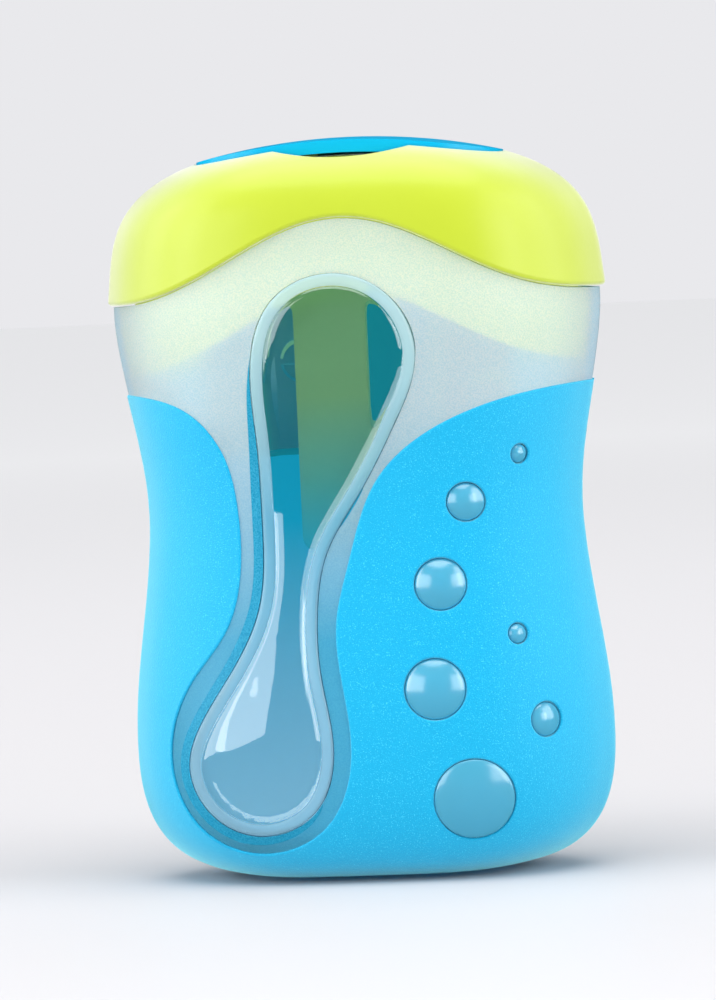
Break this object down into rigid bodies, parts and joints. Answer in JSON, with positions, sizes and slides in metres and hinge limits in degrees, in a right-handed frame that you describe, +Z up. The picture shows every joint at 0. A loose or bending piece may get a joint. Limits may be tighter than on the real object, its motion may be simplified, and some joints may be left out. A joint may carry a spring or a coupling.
{
  "type": "pencil sharpener",
  "caption": "Hand-held canister pencil sharpener: waisted frosted canister with window and soft grip, lift-off cap carrying the sharpener, flip cover over the pencil holes.",
  "frame": {"origin": "middle of the face the canister stands on", "axes": "+Z up through the cap, -Y out of the front with the window, +X to the right seen from the front"},
  "size_m": [0.05, 0.0274, 0.0733],
  "materials": {
    "frosted_clear": "frosted clear plastic, fine even texture",
    "clear_gloss": "polished clear plastic with a slight blue tint",
    "blue_grip": "soft overmould, fine matt grain",
    "lime_plastic": "satin-gloss moulded plastic",
    "lime_inner": "plain moulded plastic",
    "blue_cover": "satin moulded plastic",
    "block_plastic": "dark teal moulded plastic",
    "blade_steel": "ground",
    "steel": "plated"
  },
  "bodies": {
    "canister": {"canister_shell": "frosted_clear", "grip_overmould": "blue_grip", "window_lens": "clear_gloss", "bubble_1": "clear_gloss", "bubble_2": "clear_gloss", "bubble_3": "clear_gloss", "bubble_4": "clear_gloss", "bubble_5": "clear_gloss", "bubble_6": "clear_gloss", "bubble_7": "clear_gloss"},
    "cap": {"cap_shell": "lime_plastic", "carrier": "lime_inner", "hinge_pin": "steel", "sharpener_standard": "block_plastic", "sharpener_jumbo": "block_plastic", "blade_standard": "blade_steel", "blade_jumbo": "blade_steel", "blade_screws": "steel"},
    "cover": {"flip_cover": "blue_cover"}
  },
  "joints": [
    {"name": "cap_lift", "type": "slide", "parent": "canister", "child": "cap", "axis": [0, 0, 1], "range_m": [0, 0.05]},
    {"name": "cover_hinge", "type": "hinge", "parent": "cap", "child": "cover", "pos_m": [0, 0.0072, 0.0704], "axis": [-1, 0, 0], "range_deg": [0, 95]}
  ]
}
